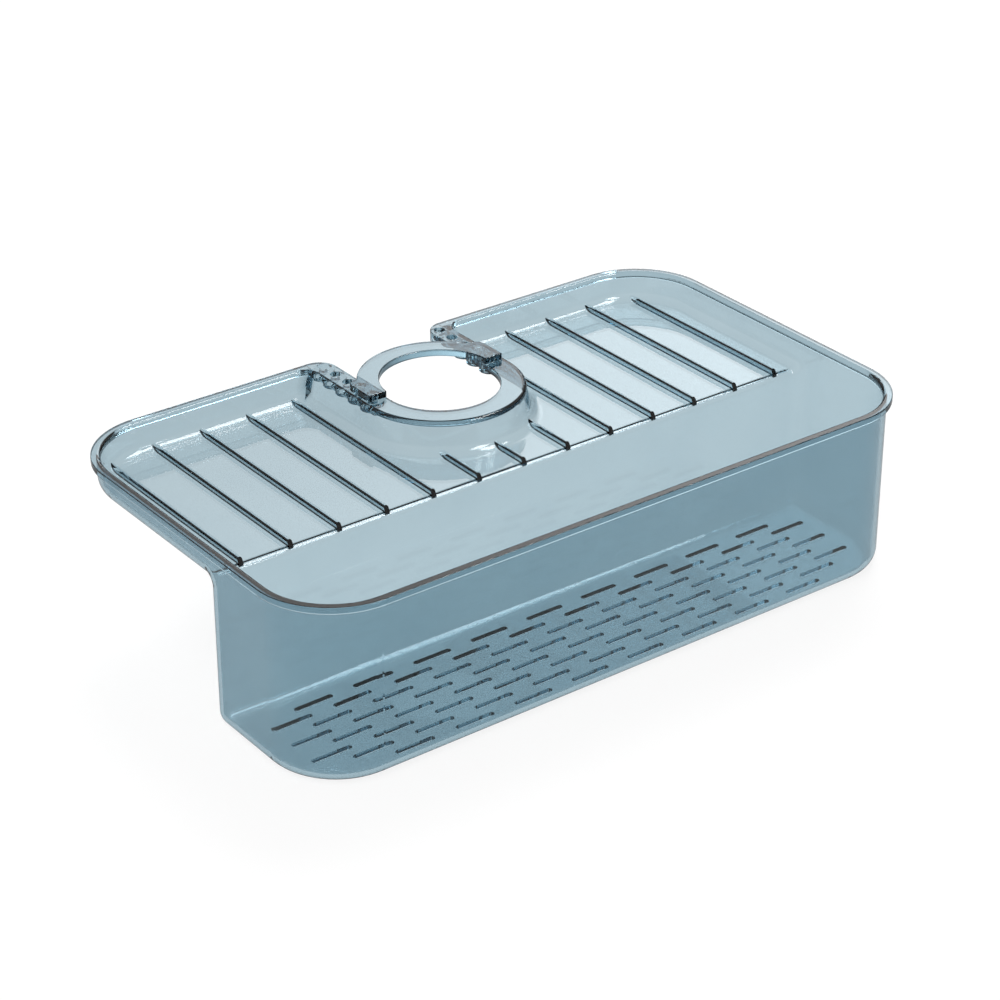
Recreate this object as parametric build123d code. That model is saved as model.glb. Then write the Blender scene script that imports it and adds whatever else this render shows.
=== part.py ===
from build123d import *
import os
from math import hypot, radians, sqrt, tan

# Kitchen sink caddy, in millimetres. A shallow drain tray lies on the deck behind the sink and
# goes round the faucet; a deep bin hangs from it into the bowl. A loose yoke closes the collar
# behind the faucet.
# The Z axis is the faucet's axis, +Y is the wall behind the sink and -Y is the front of the bin.
# The functions below take Z = 0 at the top of the rim. The saved pieces have it at the lower
# face of the collar's flange, where the faucet's collar begins.

# Rim
rim_length = 380.0
rim_depth = 223.0
rim_corner_radius = 42.0
rim_width = 5.1
rim_overhang = 2.8
rim_height = 4.0
rim_top_round = 0.5
rim_under_round = 0.8
rim_inner_round = 2.0

# Shell
wall = 2.3
body_height = 98.0
tray_depth = 17.0
floor_round = 6.4
tray_reach = 133.7
drop_radius = 4.4
underside_blend_radius = 2.1

# Collar and rails round the faucet
faucet_to_rear = 60.0
collar_radius = 31.5
flange_width = 13.5
flange_thickness = 3.5
flare_angle = 15.0
rail_rear_radius = 8.0
notch_corner_radius = 11.0

# Sockets under the rails, each open right through
sockets_per_rail = 5
socket_pitch = 11.3
first_socket_back = 6.8
socket_inset = 5.9
socket_bore_radius = 3.08
socket_boss_radius = 5.8
socket_depth = 6.1

# Ribs on the tray floor
rib_pitch = 28.0
rib_width = 2.7
rib_height = 3.3
rib_top_round = 1.25
rib_ramp_length = 1.8
rib_end_inset = 1.4
rib_margin = 12.0

# Drain slots in the bin floor
slot_length = 22.6
slot_width = 3.1
slot_pitch = 35.3
slot_row_spacing = 8.5
slot_back_margin = 14.5
slot_front_margin = 8.0
slot_land = 1.0

# Yoke
yoke_thickness = 3.6
yoke_seat_gap = 0.05
yoke_ring_width = 11.6
yoke_start = 2.7
yoke_tab_half_width = 5.3
yoke_tab_blend_radius = 1.8
yoke_end_radius = 1.2
yoke_top_round = 0.8
yoke_under_round = 0.3
pegs_per_tab = 2
peg_clearance = 0.08
peg_length = 6.4
peg_tip_chamfer = 0.6
peg_core_radius = 1.9
peg_core_roof = 1.8

# How far a cutting solid runs past what it cuts, and the slack in picking edges by place
overrun = 5.0
pick_slack = 0.05

# Places that follow from the sizes above
rear_y = faucet_to_rear
front_y = rear_y - rim_depth
middle_y = (rear_y + front_y) / 2
bin_back_y = rear_y - tray_reach
flange_radius = collar_radius + flange_width
inner_length = rim_length - 2 * rim_width
inner_rear_y = rear_y - rim_width
inner_front_y = front_y + rim_width
floor_z = -body_height + wall
socket_x = collar_radius + socket_inset
socket_rows = [first_socket_back + row * socket_pitch for row in range(sockets_per_rail)]
yoke_rows = socket_rows[:pegs_per_tab]
peg_radius = socket_bore_radius - peg_clearance
yoke_radius = collar_radius + yoke_ring_width


def near(value, target):
    return abs(value - target) < pick_slack


def stepped_block(inset, bin_back, tray_z, bottom_z, top_z, step_radius):
    """The L-shaped block of tray and bin, inset from the rim's outline, without edge rounds."""
    outline = Pos(0, middle_y) * RectangleRounded(
        rim_length - 2 * inset, rim_depth - 2 * inset, rim_corner_radius - inset
    )
    block = Pos(0, 0, bottom_z) * extrude(outline, amount=top_z - bottom_z)
    back = rear_y + overrun
    front = front_y - overrun
    top = top_z + overrun
    side = make_face(
        Plane.YZ
        * Polyline(
            (back, top),
            (back, tray_z),
            (bin_back, tray_z),
            (bin_back, bottom_z),
            (front, bottom_z),
            (front, top),
            close=True,
        )
    )
    step = side.vertices().sort_by_distance((0, bin_back, tray_z))[0]
    side = fillet(step, radius=step_radius)
    return block & extrude(side, amount=rim_length, both=True)


def round_under(block, bin_back, tray_z, bottom_z, step_radius, radius):
    """Rounds the block's lower edges and the upright edges at the back of the bin."""

    def is_low(edge):
        middle = edge.center()
        if near(middle.Z, bottom_z):
            return True
        if near(middle.Z, tray_z):
            return middle.Y > bin_back + step_radius + pick_slack
        on_back = bin_back - pick_slack < middle.Y < bin_back + step_radius
        on_side = abs(middle.X) > rim_length / 2 - rim_width - pick_slack
        return on_back and on_side and bottom_z < middle.Z < tray_z + step_radius

    return fillet([edge for edge in block.edges() if is_low(edge)], radius=radius)


def collar_sketch(half_width, z):
    """Plan of the raised land round the faucet: a half ring, two rails and their rear corners."""
    side_y = inner_rear_y - rail_rear_radius
    wing_x = flange_radius + 3 * rail_rear_radius
    corner_x = half_width + rail_rear_radius
    swing = rail_rear_radius * (1 - sqrt(1 / 2))
    half = [
        Line((wing_x, inner_rear_y), (corner_x, inner_rear_y)),
        ThreePointArc(
            (corner_x, inner_rear_y),
            (half_width + swing, inner_rear_y - swing),
            (half_width, side_y),
        ),
        Line((half_width, side_y), (half_width, 0)),
    ]
    lines = half + [line.mirror(Plane.YZ) for line in half]
    lines.append(ThreePointArc((half_width, 0), (0, -half_width), (-half_width, 0)))
    lines.append(
        Polyline(
            (wing_x, inner_rear_y),
            (wing_x, rear_y + overrun),
            (-wing_x, rear_y + overrun),
            (-wing_x, inner_rear_y),
        )
    )
    return Pos(0, 0, z) * make_face(Curve() + lines)


def flared_half_width(z):
    """Half width of the land's outer wall at a height: it flares out below the flange."""
    drop = max(0.0, -z - flange_thickness)
    return flange_radius + drop * tan(radians(flare_angle))


def collar_land():
    """The land that the tray's space goes round, taller and deeper than that space."""
    low = -tray_depth - overrun
    under_flange = collar_sketch(flange_radius, -flange_thickness)
    straight = extrude(under_flange, amount=flange_thickness + overrun)
    foot = collar_sketch(flared_half_width(low), low)
    return straight + loft([under_flange, foot], ruled=True)


def notch_plan(half_width, z):
    """Plan of a slot that is round at its front end and open at the rear edge."""
    length = rear_y + overrun
    plan = Circle(half_width) + Pos(0, length / 2) * Rectangle(2 * half_width, length)
    return Pos(0, 0, z) * plan


def under_notch():
    """The space under the flange and between the rails' walls, rounded out where it opens."""
    under_z = -tray_depth - wall
    low = under_z - overrun
    foot_round = floor_round + wall
    tops = [notch_plan(flared_half_width(z) - wall, z) for z in (-flange_thickness, low)]
    below = extrude(notch_plan(flared_half_width(low) + foot_round, low), amount=overrun)
    space = loft(tops, ruled=True) + below
    foot = [
        edge
        for edge in space.edges()
        if near(edge.center().Z, under_z) and is_under_foot(edge, flared_half_width(under_z))
    ]
    return fillet(foot, radius=foot_round)


def is_under_foot(edge, half_width):
    """Whether an edge lies within a half width of the faucet's slot, and not across its rear."""
    start = edge.start_point()
    middle = edge.center()
    return hypot(start.X, min(start.Y, 0)) < half_width and middle.Y < rear_y + overrun - pick_slack


def faucet_opening():
    """The opening in the flange, whose rear corners are rounded where the rails meet the rim."""
    plan = notch_plan(collar_radius, 0) + Pos(0, rear_y + overrun / 2) * Rectangle(
        2 * (collar_radius + 2 * notch_corner_radius), overrun
    )
    corners = [
        vertex
        for vertex in plan.vertices()
        if near(abs(vertex.X), collar_radius) and near(vertex.Y, rear_y)
    ]
    plan = fillet(corners, radius=notch_corner_radius)
    depth = tray_depth + wall + overrun
    return Pos(0, 0, -depth) * extrude(plan, amount=depth + overrun)


def rib():
    """One rib, which ends steeply on the tray's front edge and reaches into the rear wall."""
    base_z = -tray_depth - overrun
    top_z = -tray_depth + rib_height
    tip_y = bin_back_y + rib_end_inset
    side = make_face(
        Plane.YZ
        * Polyline(
            (tip_y, base_z),
            (tip_y, -tray_depth),
            (tip_y + rib_ramp_length, top_z),
            (inner_rear_y + rim_width / 2, top_z),
            (inner_rear_y + rim_width / 2, base_z),
            close=True,
        )
    )
    bar = extrude(side, amount=rib_width / 2, both=True)
    on_top = [edge for edge in bar.edges() if near(edge.center().Z, top_z)]
    crest = [edge for edge in on_top if edge.length > rib_width + pick_slack]
    return fillet(crest, radius=rib_top_round)


def tray_space():
    """The space inside the tray and the bin, which the land and the ribs stand in."""
    block = stepped_block(rim_width, bin_back_y, -tray_depth, floor_z, overrun, drop_radius)
    block -= collar_land()
    space = round_under(block, bin_back_y, -tray_depth, floor_z, drop_radius, floor_round)
    reach = int((inner_length / 2 - rib_margin) / rib_pitch)
    one = rib()
    for place in range(-reach, reach + 1):
        space -= Pos(place * rib_pitch) * one
    return space


def slot_places():
    """Centres of the drain slots: staggered rows, each slot whole inside the flat of the floor."""
    corner = rim_corner_radius - rim_width - floor_round
    flat_x = inner_length / 2 - floor_round - slot_land
    flat_front = inner_front_y + floor_round
    run = bin_back_y - inner_front_y - slot_back_margin - slot_front_margin
    rows = int(run / slot_row_spacing) + 1
    columns = int(inner_length / slot_pitch) + 1
    for row in range(rows):
        y = bin_back_y - slot_back_margin - row * slot_row_spacing
        shift = 0 if row % 2 == 0 else slot_pitch / 2
        for column in range(-columns, columns + 1):
            x = column * slot_pitch + shift
            tip = abs(x) + slot_length / 2
            beside = max(0.0, tip - (inner_length / 2 - floor_round - corner))
            below = max(0.0, flat_front + corner - (y - slot_width / 2))
            if tip <= flat_x and hypot(beside, below) <= corner - slot_land:
                yield x, y


def drain_slots():
    """All the drain slots as one set of cutting solids."""
    one = extrude(SlotOverall(slot_length, slot_width), amount=wall + overrun)
    return [Pos(x, y, -body_height - overrun / 2) * one for x, y in slot_places()]


def caddy_body():
    """The moulding: rim, drain tray, collar with its rails and sockets, and the slotted bin."""
    under_z = -tray_depth - wall
    bin_outer_y = bin_back_y + wall
    outer_round = floor_round + wall
    blend = underside_blend_radius
    block = stepped_block(rim_overhang, bin_outer_y, under_z, -body_height, 0, blend)
    body = round_under(block, bin_outer_y, under_z, -body_height, blend, outer_round)
    lip = Pos(0, middle_y, -rim_height) * extrude(
        RectangleRounded(rim_length, rim_depth, rim_corner_radius), amount=rim_height
    )
    opening = faucet_opening()
    body = body + lip - opening
    body = fillet(body.edges().group_by(Axis.Z)[-1], radius=rim_top_round)
    lip_edges = [edge for edge in body.edges() if is_lip_underside(edge)]
    body = fillet(lip_edges, radius=rim_under_round)
    body -= tray_space()
    body = fillet([edge for edge in body.edges() if is_rim_inside(edge)], radius=rim_inner_round)
    body -= under_notch()
    sockets = [(side * socket_x, y) for side in (-1, 1) for y in socket_rows]
    boss = Pos(0, 0, -socket_depth) * extrude(
        Circle(socket_boss_radius), amount=socket_depth - flange_thickness / 2
    )
    bosses = [Pos(x, y) * boss for x, y in sockets]
    body = body + bosses - opening
    bore = Pos(0, 0, -socket_depth - overrun) * extrude(
        Circle(socket_bore_radius), amount=socket_depth + 2 * overrun
    )
    body -= [Pos(x, y) * bore for x, y in sockets]
    body -= drain_slots()
    return body


def is_lip_underside(edge):
    """Whether an edge runs along the outside of the rim's lower face."""
    middle = edge.center()
    if not near(middle.Z, -rim_height):
        return False
    start = edge.start_point()
    inside_x = rim_length / 2 - rim_overhang / 2
    inside_front = front_y + rim_overhang / 2
    inside_rear = rear_y - rim_overhang / 2
    corner = rim_corner_radius - rim_overhang / 2
    beside = max(0.0, abs(start.X) - (inside_x - corner))
    ahead = max(0.0, inside_front + corner - start.Y, start.Y - (inside_rear - corner))
    return hypot(beside, ahead) > corner


def is_rim_inside(edge):
    """Whether an edge is the top edge of the tray's and the bin's inner wall."""
    start = edge.start_point()
    end = edge.end_point()
    if not (near(start.Z, 0) and near(end.Z, 0)):
        return False
    past_collar = hypot(start.X, min(start.Y, 0)) > collar_radius + flange_width / 2
    inside = abs(start.X) < rim_length / 2 - rim_width + pick_slack
    inside_y = inner_front_y - pick_slack < start.Y < inner_rear_y + pick_slack
    return past_collar and inside and inside_y


def yoke_plan():
    """Plan of the yoke: a half ring whose two ends widen into tabs along the rails."""
    tab_x = socket_x + yoke_tab_half_width
    tab_end = yoke_rows[-1] + yoke_tab_half_width
    keep = Pos(0, yoke_start + rim_depth / 2) * Rectangle(2 * tab_x, rim_depth)
    plan = (Circle(yoke_radius) - Circle(collar_radius)) & keep
    length = tab_end - yoke_start
    tab = Pos(0, yoke_start + length / 2) * Rectangle(2 * yoke_tab_half_width, length)
    for side in (-1, 1):
        ear = Pos(side * socket_x) * tab
        outer = ear.vertices().sort_by_distance((side * rim_length, rim_length))[0]
        plan += fillet(outer, radius=yoke_tab_half_width)
    blends = [v for v in plan.vertices() if near(hypot(v.X, v.Y), yoke_radius)]
    plan = fillet(blends, radius=yoke_tab_blend_radius)
    ends = [v for v in plan.vertices() if near(v.Y, yoke_start)]
    return fillet(ends, radius=yoke_end_radius)


def yoke():
    """The loose half ring on two pegged tabs that closes the collar behind the faucet."""
    plate = extrude(yoke_plan(), amount=yoke_thickness)
    plate = fillet(plate.edges().group_by(Axis.Z)[-1], radius=yoke_top_round)
    plate = fillet(plate.edges().group_by(Axis.Z)[0], radius=yoke_under_round)
    peg = Pos(0, 0, -peg_length) * extrude(
        Circle(peg_radius), amount=peg_length + yoke_thickness / 2
    )
    peg = chamfer(peg.edges().group_by(Axis.Z)[0], length=peg_tip_chamfer)
    core = Pos(0, 0, yoke_thickness - peg_core_roof) * extrude(
        Circle(peg_core_radius), amount=-peg_length - yoke_thickness - overrun
    )
    places = [(side * socket_x, y) for side in (-1, 1) for y in yoke_rows]
    plate += [Pos(x, y) * peg for x, y in places]
    plate -= [Pos(x, y) * core for x, y in places]
    return Pos(0, 0, yoke_seat_gap) * plate


def save(part, name):
    """Writes one piece to the parts folder, with Z = 0 at the flange's lower face."""
    part = Pos(0, 0, flange_thickness) * part
    part.label = name
    export_step(part, os.path.join("parts", name + ".step"))


os.makedirs("parts", exist_ok=True)
save(caddy_body(), "caddy_body")
save(yoke(), "yoke")
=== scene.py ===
"""Looks, studio and camera for the kitchen sink caddy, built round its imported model.

The caddy is two mouldings in clear blue-grey plastic: the body, with its rim, drain tray, collar
and slotted bin, and the loose yoke that closes the collar behind the faucet. Both keep their
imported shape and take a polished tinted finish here. Lengths are in metres, angles in degrees.
"""

import logging
import math
from dataclasses import dataclass, field
from enum import Enum
from typing import Any, Optional, Union

import bpy
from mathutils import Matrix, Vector


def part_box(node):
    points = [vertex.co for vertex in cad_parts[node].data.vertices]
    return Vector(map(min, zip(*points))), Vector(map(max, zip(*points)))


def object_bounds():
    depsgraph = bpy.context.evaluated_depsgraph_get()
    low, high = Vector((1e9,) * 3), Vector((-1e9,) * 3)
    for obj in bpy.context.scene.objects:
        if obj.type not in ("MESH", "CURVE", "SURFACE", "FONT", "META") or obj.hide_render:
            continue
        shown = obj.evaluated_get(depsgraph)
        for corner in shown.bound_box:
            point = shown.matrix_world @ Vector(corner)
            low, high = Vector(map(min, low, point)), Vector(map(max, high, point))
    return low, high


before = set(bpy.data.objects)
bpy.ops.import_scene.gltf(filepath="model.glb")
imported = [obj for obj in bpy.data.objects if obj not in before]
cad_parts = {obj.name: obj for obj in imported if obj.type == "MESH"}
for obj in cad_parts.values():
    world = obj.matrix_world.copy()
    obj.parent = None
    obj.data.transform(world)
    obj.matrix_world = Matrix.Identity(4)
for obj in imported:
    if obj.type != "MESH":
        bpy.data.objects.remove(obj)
cad_low, cad_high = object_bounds()

log = logging.getLogger("caddy")

MILLIMETRE = 0.001

# Where a Mix node of colours has its two colours and its result
MIX_FIRST = 6
MIX_SECOND = 7
MIX_RESULT = 2

Colour = tuple[float, float, float]
Span = tuple[float, float]
Stops = tuple[tuple[float, float], ...]
Feed = Union["Signal", bpy.types.NodeSocket, float, Colour, Vector]


class LampRole(Enum):
    """What a lamp does: light the scene, or show as a highlight in the polish."""

    LIGHT = "light"
    HIGHLIGHT = "highlight"


class Ray(Enum):
    """The kinds of ray that the studio answers apart, as outputs of the Light Path node."""

    CAMERA = "Is Camera Ray"
    GLOSSY = "Is Glossy Ray"
    TRANSMISSION = "Is Transmission Ray"


class Signal:
    """A node's output that Python's arithmetic works on, each step as one Math node."""

    def __init__(self, bench: "Bench", socket: bpy.types.NodeSocket) -> None:
        """Wraps an output socket of a node on that bench."""
        self.bench = bench
        self.socket = socket

    def __add__(self, other: Feed) -> "Signal":
        """This value plus another."""
        return self.bench.maths("ADD", self, other)

    def __radd__(self, other: Feed) -> "Signal":
        """Another value plus this one."""
        return self.bench.maths("ADD", other, self)

    def __sub__(self, other: Feed) -> "Signal":
        """This value less another."""
        return self.bench.maths("SUBTRACT", self, other)

    def __rsub__(self, other: Feed) -> "Signal":
        """Another value less this one."""
        return self.bench.maths("SUBTRACT", other, self)

    def __mul__(self, other: Feed) -> "Signal":
        """This value times another."""
        return self.bench.maths("MULTIPLY", self, other)

    def __rmul__(self, other: Feed) -> "Signal":
        """Another value times this one."""
        return self.bench.maths("MULTIPLY", other, self)

    def larger(self, other: Feed) -> "Signal":
        """The larger of this value and another."""
        return self.bench.maths("MAXIMUM", self, other)


class Bench:
    """Where the nodes of one material or world are put together."""

    def __init__(self, tree: bpy.types.NodeTree) -> None:
        """Takes a node tree and clears it."""
        self.tree = tree
        tree.nodes.clear()

    def add(
        self,
        kind: str,
        settings: Optional[dict[str, Any]] = None,
        inputs: Optional[dict[Union[str, int], Feed]] = None,
    ) -> bpy.types.Node:
        """Adds one node.

        Args:
            kind: The node's type, such as ShaderNodeMix.
            settings: Its properties by name, set before its sockets. The name stops takes a
                colour ramp's pairs of position and grey level.
            inputs: Values or links for its sockets, by name or by number.

        Returns:
            The new node.
        """
        node = self.tree.nodes.new(kind)
        for name, value in (settings or {}).items():
            if name == "stops":
                self.set_stops(node.color_ramp, value)
            else:
                setattr(node, name, value)
        for place, value in (inputs or {}).items():
            self.feed(node.inputs[place], value)
        return node

    def set_stops(self, ramp: bpy.types.ColorRamp, stops: Stops) -> None:
        """Gives a colour ramp its grey stops.

        Args:
            ramp: The ramp of a new node, which has two stops.
            stops: Positions along the ramp with their grey levels, in order.
        """
        while len(ramp.elements) < len(stops):
            ramp.elements.new(1.0)
        for element, (place, grey) in zip(ramp.elements, stops):
            element.position = place
            element.color = (grey, grey, grey, 1.0)

    def feed(self, socket: bpy.types.NodeSocket, value: Feed) -> None:
        """Links a signal or socket to an input, or sets the input's own value."""
        if isinstance(value, Signal):
            value = value.socket
        if isinstance(value, bpy.types.NodeSocket):
            self.tree.links.new(value, socket)
        elif isinstance(value, tuple) and len(value) == 3 and socket.type == "RGBA":
            socket.default_value = (*value, 1.0)
        else:
            socket.default_value = value

    def maths(self, operation: str, first: Feed, second: Feed) -> Signal:
        """One Math node on two values."""
        node = self.add("ShaderNodeMath", {"operation": operation}, {0: first, 1: second})
        return self.read(node)

    def read(self, node: bpy.types.Node, output: Union[str, int] = 0) -> Signal:
        """A node's output as a signal."""
        return Signal(self, node.outputs[output])


@dataclass(frozen=True)
class ClearPlastic:
    """A polished see-through plastic, tinted through its thickness.

    Attributes:
        name: The material's name.
        index: Refractive index.
        surface: Base colour of the polished skin where it is thickest in tint, and palest.
        sheen_low: Roughness where the polish is best.
        sheen_high: Roughness in the dull patches.
        smudge: Patches of duller polish to the metre.
        smudge_detail: Steps of finer patches within them.
        smudge_grain: How strongly the finer patches show.
        smudge_stops: How dull the polish is over the patches' own strength.
        ripple: Mould flow ripples to the metre.
        ripple_detail: Steps of finer ripples within them.
        ripple_swirl: How far the ripples bend.
        ripple_height: Height of those ripples.
        spared: Share of red, green and blue light that the tint's absorption spares.
        density: Absorption of the most absorbed colour, to the metre.
        seed: Shift of the patches, so that no two mouldings share them.
    """

    name: str
    index: float = 1.5
    surface: tuple[Colour, Colour] = ((0.487, 0.602, 0.656), (0.51, 0.624, 0.676))
    sheen_low: float = 0.008
    sheen_high: float = 0.02
    smudge: float = 22.0
    smudge_detail: float = 3.0
    smudge_grain: float = 0.55
    smudge_stops: Stops = ((0.42, 0.0), (0.72, 1.0))
    ripple: float = 9.0
    ripple_detail: float = 1.0
    ripple_swirl: float = 0.6
    ripple_height: float = 0.008 * MILLIMETRE
    spared: Colour = (0.0, 0.299, 0.418)
    density: float = 67.0
    seed: float = 0.0

    def make(self) -> bpy.types.Material:
        """Builds the material.

        Returns:
            The finished material, with its absorption in the volume.
        """
        material = bpy.data.materials.new(self.name)
        material.use_nodes = True
        bench = Bench(material.node_tree)
        place = self.grain_place(bench)
        smudge = self.smudges(bench, place)
        shader = bench.add(
            "ShaderNodeBsdfPrincipled",
            inputs={
                "Base Color": self.skin_colour(bench, smudge),
                "Roughness": smudge * (self.sheen_high - self.sheen_low) + self.sheen_low,
                "IOR": self.index,
                "Transmission Weight": 1.0,
                "Normal": self.ripples(bench, place),
            },
        )
        tint = bench.add(
            "ShaderNodeVolumeAbsorption",
            inputs={"Color": self.spared, "Density": self.density},
        )
        bench.add(
            "ShaderNodeOutputMaterial",
            inputs={"Surface": shader.outputs["BSDF"], "Volume": tint.outputs["Volume"]},
        )
        return material

    def grain_place(self, bench: Bench) -> Signal:
        """Where a point of the moulding lies, shifted by the finish's seed."""
        place = bench.add("ShaderNodeTexCoord")
        shifted = bench.add(
            "ShaderNodeVectorMath",
            {"operation": "ADD"},
            {0: place.outputs["Object"], 1: Vector((self.seed, self.seed, self.seed))},
        )
        return bench.read(shifted)

    def smudges(self, bench: Bench, place: Signal) -> Signal:
        """Soft patches of duller polish, from none, 0, to the dullest, 1."""
        grain = bench.add(
            "ShaderNodeTexNoise",
            {"noise_dimensions": "3D"},
            {
                "Vector": place,
                "Scale": self.smudge,
                "Detail": self.smudge_detail,
                "Roughness": self.smudge_grain,
            },
        )
        levels = bench.add(
            "ShaderNodeValToRGB", {"stops": self.smudge_stops}, {"Fac": grain.outputs["Fac"]}
        )
        return bench.read(levels, "Color")

    def skin_colour(self, bench: Bench, smudge: Signal) -> Signal:
        """The polished skin's colour, a little deeper in the dull patches."""
        deep, pale = self.surface
        mixed = bench.add(
            "ShaderNodeMix",
            {"data_type": "RGBA"},
            {"Factor": smudge, MIX_FIRST: pale, MIX_SECOND: deep},
        )
        return bench.read(mixed, MIX_RESULT)

    def ripples(self, bench: Bench, place: Signal) -> Signal:
        """The faint ripples that a moulding's flow leaves, as a surface normal."""
        flow = bench.add(
            "ShaderNodeTexNoise",
            {"noise_dimensions": "3D"},
            {
                "Vector": place,
                "Scale": self.ripple,
                "Detail": self.ripple_detail,
                "Distortion": self.ripple_swirl,
            },
        )
        bump = bench.add(
            "ShaderNodeBump",
            inputs={
                "Strength": 1.0,
                "Distance": self.ripple_height,
                "Height": flow.outputs["Fac"],
            },
        )
        return bench.read(bump)


@dataclass
class Moulding:
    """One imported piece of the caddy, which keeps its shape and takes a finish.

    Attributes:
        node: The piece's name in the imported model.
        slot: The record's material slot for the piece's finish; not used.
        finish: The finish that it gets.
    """

    node: str
    slot: str
    finish: ClearPlastic

    def dress(self) -> None:
        """Gives the piece its finish on every material slot of its mesh."""
        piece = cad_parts[self.node]
        material = self.finish.make()
        for place in piece.material_slots:
            place.material = material
        low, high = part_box(self.node)
        size = [round((top - bottom) / MILLIMETRE, 1) for bottom, top in zip(low, high)]
        log.info("%s: %s mm, finish %s", self.node, size, self.finish.name)


class CaddyBody(Moulding):
    """The moulding with rim, drain tray, collar, rails of sockets and slotted bin."""

    def __init__(self) -> None:
        """Takes the body's node and the tinted finish."""
        super().__init__("caddy_body", "tinted_clear", ClearPlastic("tinted_clear_body"))


class Yoke(Moulding):
    """The loose half ring on pegged tabs, behind the faucet's opening."""

    def __init__(self) -> None:
        """Takes the yoke's node and its own batch of the tinted finish."""
        finish = ClearPlastic("tinted_clear_yoke", smudge=40.0, seed=3.7)
        super().__init__("yoke", "yoke_clear", finish)


@dataclass(frozen=True)
class Softbox:
    """A square studio lamp that looks at the caddy.

    Attributes:
        name: The lamp's name.
        role: Whether it lights the scene or shows in the polish.
        bearing: Degrees from +Y towards +X at which it stands.
        height: Degrees above the horizon.
        distance: How far it is from the caddy's middle.
        width: Its breadth.
        depth: Its height.
        power: Its power in watts.
    """

    name: str
    role: LampRole
    bearing: float
    height: float
    distance: float
    width: float
    depth: float
    power: float

    def place(self, middle: Vector) -> None:
        """Hangs the lamp so that it faces the caddy's middle.

        Args:
            middle: The centre of the caddy's box.
        """
        data = bpy.data.lights.new(self.name, "AREA")
        data.shape = "RECTANGLE"
        data.size = self.width
        data.size_y = self.depth
        data.energy = self.power
        lamp = bpy.data.objects.new(self.name, data)
        bpy.context.scene.collection.objects.link(lamp)
        away = heading(self.bearing, self.height)
        lamp.location = middle + away * self.distance
        lamp.rotation_mode = "QUATERNION"
        lamp.rotation_quaternion = (-away).to_track_quat("-Z", "Y")
        lights = self.role is LampRole.LIGHT
        lamp.visible_camera = False
        lamp.visible_diffuse = lights
        lamp.visible_glossy = not lights
        lamp.visible_transmission = not lights
        log.info("%s: %.0f W at %.1f m", self.name, self.power, self.distance)


def heading(bearing: float, height: float) -> Vector:
    """The unit vector at a bearing from +Y towards +X, and at a height above the horizon."""
    turn = math.radians(bearing)
    lift = math.radians(height)
    flat = math.cos(lift)
    return Vector((math.sin(turn) * flat, math.cos(turn) * flat, math.sin(lift)))


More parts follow.
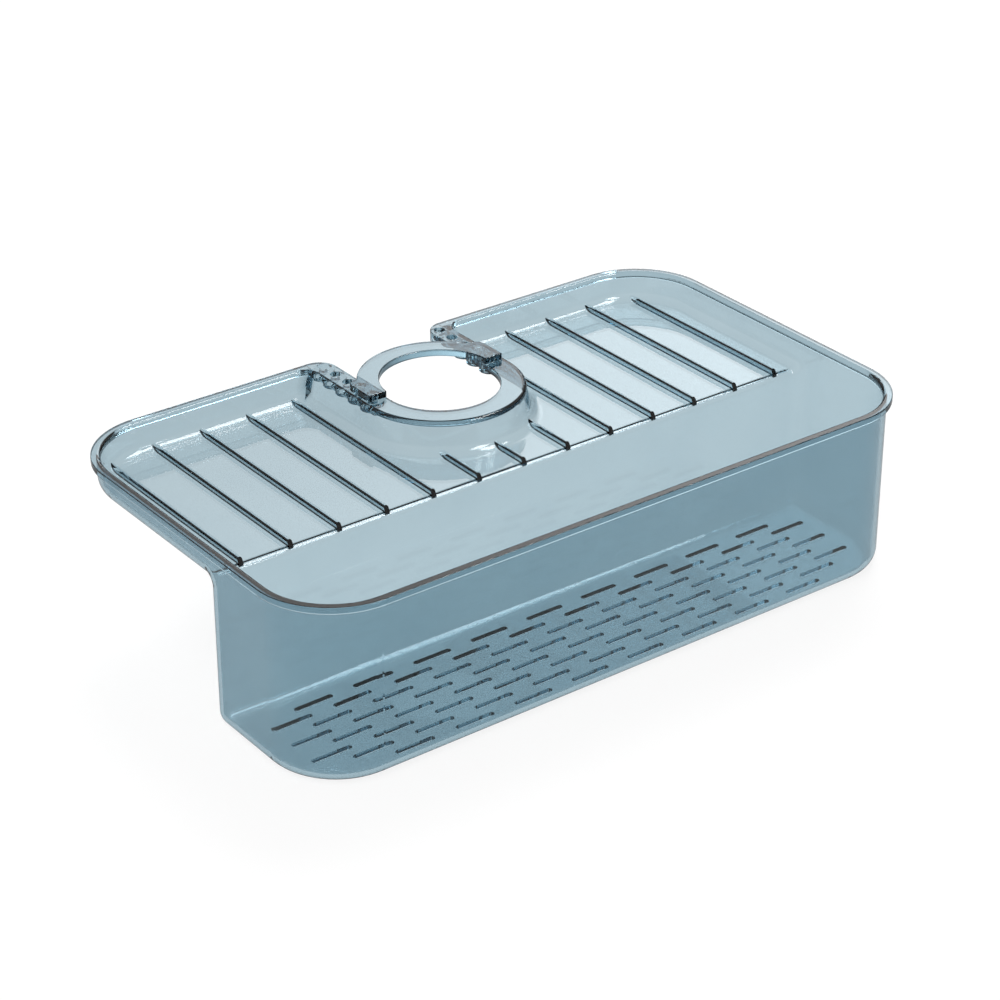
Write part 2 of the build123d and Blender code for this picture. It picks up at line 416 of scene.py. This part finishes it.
@dataclass
class Studio:
    """The white floor, the surroundings and the lamps.

    Attributes:
        floor_reach: Half the side of the floor.
        floor_gap: Air between the bin and the floor.
        paper: Colour of the floor's paper under the lamps.
        floor_white: Brightness of the floor and the backdrop as the camera sees them.
        floor_share: How much of the floor's look is lit by the studio, and so holds the shadow.
        floor_mirrored: Brightness of the floor where the polish mirrors it.
        shade_place: Middle of the painted shadow on the floor that the front of the bin mirrors.
        shade_reach: Half the length of that patch along X and Y.
        shade_depth: Share of the mirrored brightness that it takes in its middle.
        cast_place: Middle of the caddy's painted shadow behind it, seen through the plastic.
        cast_reach: Half the length of that shadow along X and Y.
        cast_depth: Share of the brightness that it takes in its middle.
        stops: Grey of the surroundings from straight down, 0, to straight up, 1.
        glow_bearing: Degrees from +Y towards +X of a bright place in the surroundings.
        glow_height: Degrees of that place above the horizon.
        glow_strength: How bright its middle is.
        glow_stops: Its brightness over the cosine of the angle from its middle.
        lamps: The softboxes.
    """

    floor_reach: float = 6.0
    floor_gap: float = 0.2 * MILLIMETRE
    paper: Colour = (0.9, 0.9, 0.9)
    floor_white: float = 1.04
    floor_share: float = 0.16
    floor_mirrored: float = 0.45
    shade_place: Span = (-0.13, -0.25)
    shade_reach: Span = (0.26, 0.26)
    shade_depth: float = 0.9
    cast_place: Span = (0.03, 0.15)
    cast_reach: Span = (0.28, 0.15)
    cast_depth: float = 0.11
    stops: Stops = (
        (0.0, 1.0),
        (0.5, 1.0),
        (0.505, 0.1),
        (0.6, 0.1),
        (0.66, 0.5),
        (0.75, 0.5),
        (1.0, 0.35),
    )
    glow_bearing: float = 46.0
    glow_height: float = 25.0
    glow_strength: float = 2.0
    glow_stops: Stops = ((0.94, 0.0), (0.982, 0.45), (1.0, 1.0))
    lamps: tuple[Softbox, ...] = field(
        default_factory=lambda: (
            Softbox("key_softbox", LampRole.LIGHT, 48.0, 55.0, 3.0, 1.6, 1.3, 60.0),
            Softbox("fill_softbox", LampRole.LIGHT, -120.0, 60.0, 3.2, 1.8, 1.2, 34.0),
            Softbox("strip_softbox", LampRole.HIGHLIGHT, 116.0, 58.0, 2.4, 1.15, 0.66, 22.6),
            Softbox("side_softbox", LampRole.HIGHLIGHT, 159.0, 45.0, 2.4, 0.62, 0.85, 15.7),
        )
    )

    def build(self) -> None:
        """Puts up the floor, the surroundings and the lamps."""
        middle = (cad_low + cad_high) / 2
        self.lay_floor()
        self.paint_world()
        for lamp in self.lamps:
            lamp.place(middle)

    def floor_level(self) -> float:
        """The floor's height, just under the bin and clear of its base."""
        return cad_low.z - self.floor_gap

    def lay_floor(self) -> None:
        """Lays the floor under the bin."""
        reach = self.floor_reach
        level = self.floor_level()
        mesh = bpy.data.meshes.new("floor")
        signs = ((-1, -1), (1, -1), (1, 1), (-1, 1))
        corners = [(x * reach, y * reach, level) for x, y in signs]
        mesh.from_pydata(corners, [], [(0, 1, 2, 3)])
        floor = bpy.data.objects.new("floor", mesh)
        bpy.context.scene.collection.objects.link(floor)
        mesh.materials.append(self.floor_material())
        log.info("floor: %.1f m square at %.4f m", 2 * reach, level)

    def floor_material(self) -> bpy.types.Material:
        """White paper, seen as even white with the caddy's soft shadow on it.

        Returns:
            The floor's material, white to the camera, and darker with painted shadows to other
            rays.
        """
        material = bpy.data.materials.new("studio_paper")
        material.use_nodes = True
        bench = Bench(material.node_tree)
        paper = bench.add("ShaderNodeBsdfDiffuse", inputs={"Color": self.paper})
        path = bench.add("ShaderNodeLightPath")
        through = bench.read(path, Ray.TRANSMISSION.value)
        # Painted shadow of the caddy on the floor, seen only by rays through the plastic
        cast = self.patch(bench, self.cast_place, self.cast_reach) * self.cast_depth
        # Painted shadow on the floor, shown only in the polish's reflections of it
        shade = self.patch(bench, self.shade_place, self.shade_reach) * self.shade_depth
        glow = bench.add(
            "ShaderNodeEmission",
            inputs={"Color": 1.0 - cast * through, "Strength": self.floor_white},
        )
        sheen = bench.add(
            "ShaderNodeEmission",
            inputs={"Color": 1.0 - shade, "Strength": self.floor_mirrored},
        )
        mirrored = bench.read(path, Ray.GLOSSY.value) * (1.0 - through)
        seen = bench.read(path, Ray.CAMERA.value) * (1.0 - self.floor_share)
        shown = bench.add(
            "ShaderNodeMixShader", inputs={0: mirrored, 1: glow.outputs[0], 2: sheen.outputs[0]}
        )
        mixed = bench.add(
            "ShaderNodeMixShader",
            inputs={
                0: seen.larger(mirrored).larger(through),
                1: paper.outputs[0],
                2: shown.outputs[0],
            },
        )
        bench.add("ShaderNodeOutputMaterial", inputs={"Surface": mixed.outputs[0]})
        return material

    def patch(self, bench: Bench, middle: Span, reach: Span) -> Signal:
        """A soft oval patch of the floor.

        Args:
            bench: Where the floor's nodes are put together.
            middle: The patch's middle along X and Y.
            reach: Half its length along X and Y.

        Returns:
            How near a place is to the middle, from 1 there to 0 at the edge and beyond.
        """
        place = bench.add("ShaderNodeTexCoord")
        away = bench.add(
            "ShaderNodeVectorMath",
            {"operation": "SUBTRACT"},
            {0: place.outputs["Object"], 1: Vector((*middle, self.floor_level()))},
        )
        scaled = bench.add(
            "ShaderNodeVectorMath",
            {"operation": "DIVIDE"},
            {0: away.outputs["Vector"], 1: Vector((*reach, 1.0))},
        )
        length = bench.add(
            "ShaderNodeVectorMath", {"operation": "LENGTH"}, {0: scaled.outputs["Vector"]}
        )
        return (1.0 - bench.read(length, "Value")).larger(0.0)

    def paint_world(self) -> None:
        """Gives the surroundings white below, greyer above, and white to the camera."""
        world = bpy.data.worlds.new("studio")
        bpy.context.scene.world = world
        world.use_nodes = True
        bench = Bench(world.node_tree)
        towards = bench.add("ShaderNodeTexCoord")
        parts = bench.add("ShaderNodeSeparateXYZ", inputs={0: towards.outputs["Generated"]})
        # The direction's height runs from -1 to 1, and the ramp from 0 to 1
        height = bench.read(parts, "Z") * 0.5 + 0.5
        greys = bench.add("ShaderNodeValToRGB", {"stops": self.stops}, {"Fac": height})
        near = bench.add(
            "ShaderNodeVectorMath",
            {"operation": "DOT_PRODUCT"},
            {
                0: towards.outputs["Generated"],
                1: heading(self.glow_bearing, self.glow_height),
            },
        )
        glow = bench.add(
            "ShaderNodeValToRGB", {"stops": self.glow_stops}, {"Fac": near.outputs["Value"]}
        )
        lit = bench.read(greys, "Color") + bench.read(glow, "Color") * self.glow_strength
        path = bench.add("ShaderNodeLightPath")
        mixed = bench.add(
            "ShaderNodeMix",
            {"data_type": "RGBA"},
            {
                "Factor": path.outputs[Ray.CAMERA.value],
                MIX_FIRST: lit,
                MIX_SECOND: (self.floor_white, self.floor_white, self.floor_white),
            },
        )
        shine = bench.add(
            "ShaderNodeBackground",
            inputs={"Color": mixed.outputs[MIX_RESULT], "Strength": 1.0},
        )
        bench.add("ShaderNodeOutputWorld", inputs={"Surface": shine.outputs[0]})


@dataclass(frozen=True)
class Viewpoint:
    """The camera that stands where the photograph was taken from.

    Attributes:
        place: Where it stands.
        towards: The direction that it looks in.
        lens: Its focal length in millimetres.
        sensor: Its sensor's width in millimetres.
    """

    place: Vector = field(default_factory=lambda: Vector((-0.7603, -1.06, 0.6452)))
    towards: Vector = field(default_factory=lambda: Vector((0.5286, 0.7011, -0.4786)))
    lens: float = 101.1
    sensor: float = 36.0

    def set_up(self) -> None:
        """Makes the camera and gives it to the scene."""
        data = bpy.data.cameras.new("camera")
        data.lens = self.lens
        data.sensor_width = self.sensor
        camera = bpy.data.objects.new("camera", data)
        bpy.context.scene.collection.objects.link(camera)
        camera.location = self.place
        camera.rotation_mode = "QUATERNION"
        camera.rotation_quaternion = self.towards.to_track_quat("-Z", "Y")
        bpy.context.scene.camera = camera
        log.info("camera: %.1f mm lens, %.2f m away", self.lens, self.place.length)


@dataclass(frozen=True)
class LightPaths:
    """How far light is followed through the caddy's walls and between them.

    Attributes:
        total: Steps of any kind.
        transmission: Steps through a surface of the plastic.
        glossy: Steps mirrored by the polish.
        diffuse: Steps scattered by the paper.
    """

    total: int = 16
    transmission: int = 12
    glossy: int = 6
    diffuse: int = 3

    def set_up(self) -> None:
        """Gives the scene these limits, plain colours and smoothed noise."""
        scene = bpy.context.scene
        scene.view_settings.view_transform = "Standard"
        scene.cycles.max_bounces = self.total
        scene.cycles.transmission_bounces = self.transmission
        scene.cycles.glossy_bounces = self.glossy
        scene.cycles.diffuse_bounces = self.diffuse
        scene.cycles.use_denoising = True


def main() -> None:
    """Sets up the camera and the studio, then dresses each piece of the caddy."""
    logging.basicConfig(level=logging.INFO, format="%(name)s: %(message)s")
    Viewpoint().set_up()
    LightPaths().set_up()
    Studio().build()
    for moulding in (CaddyBody(), Yoke()):
        moulding.dress()


if __name__ == "__main__":
    main()
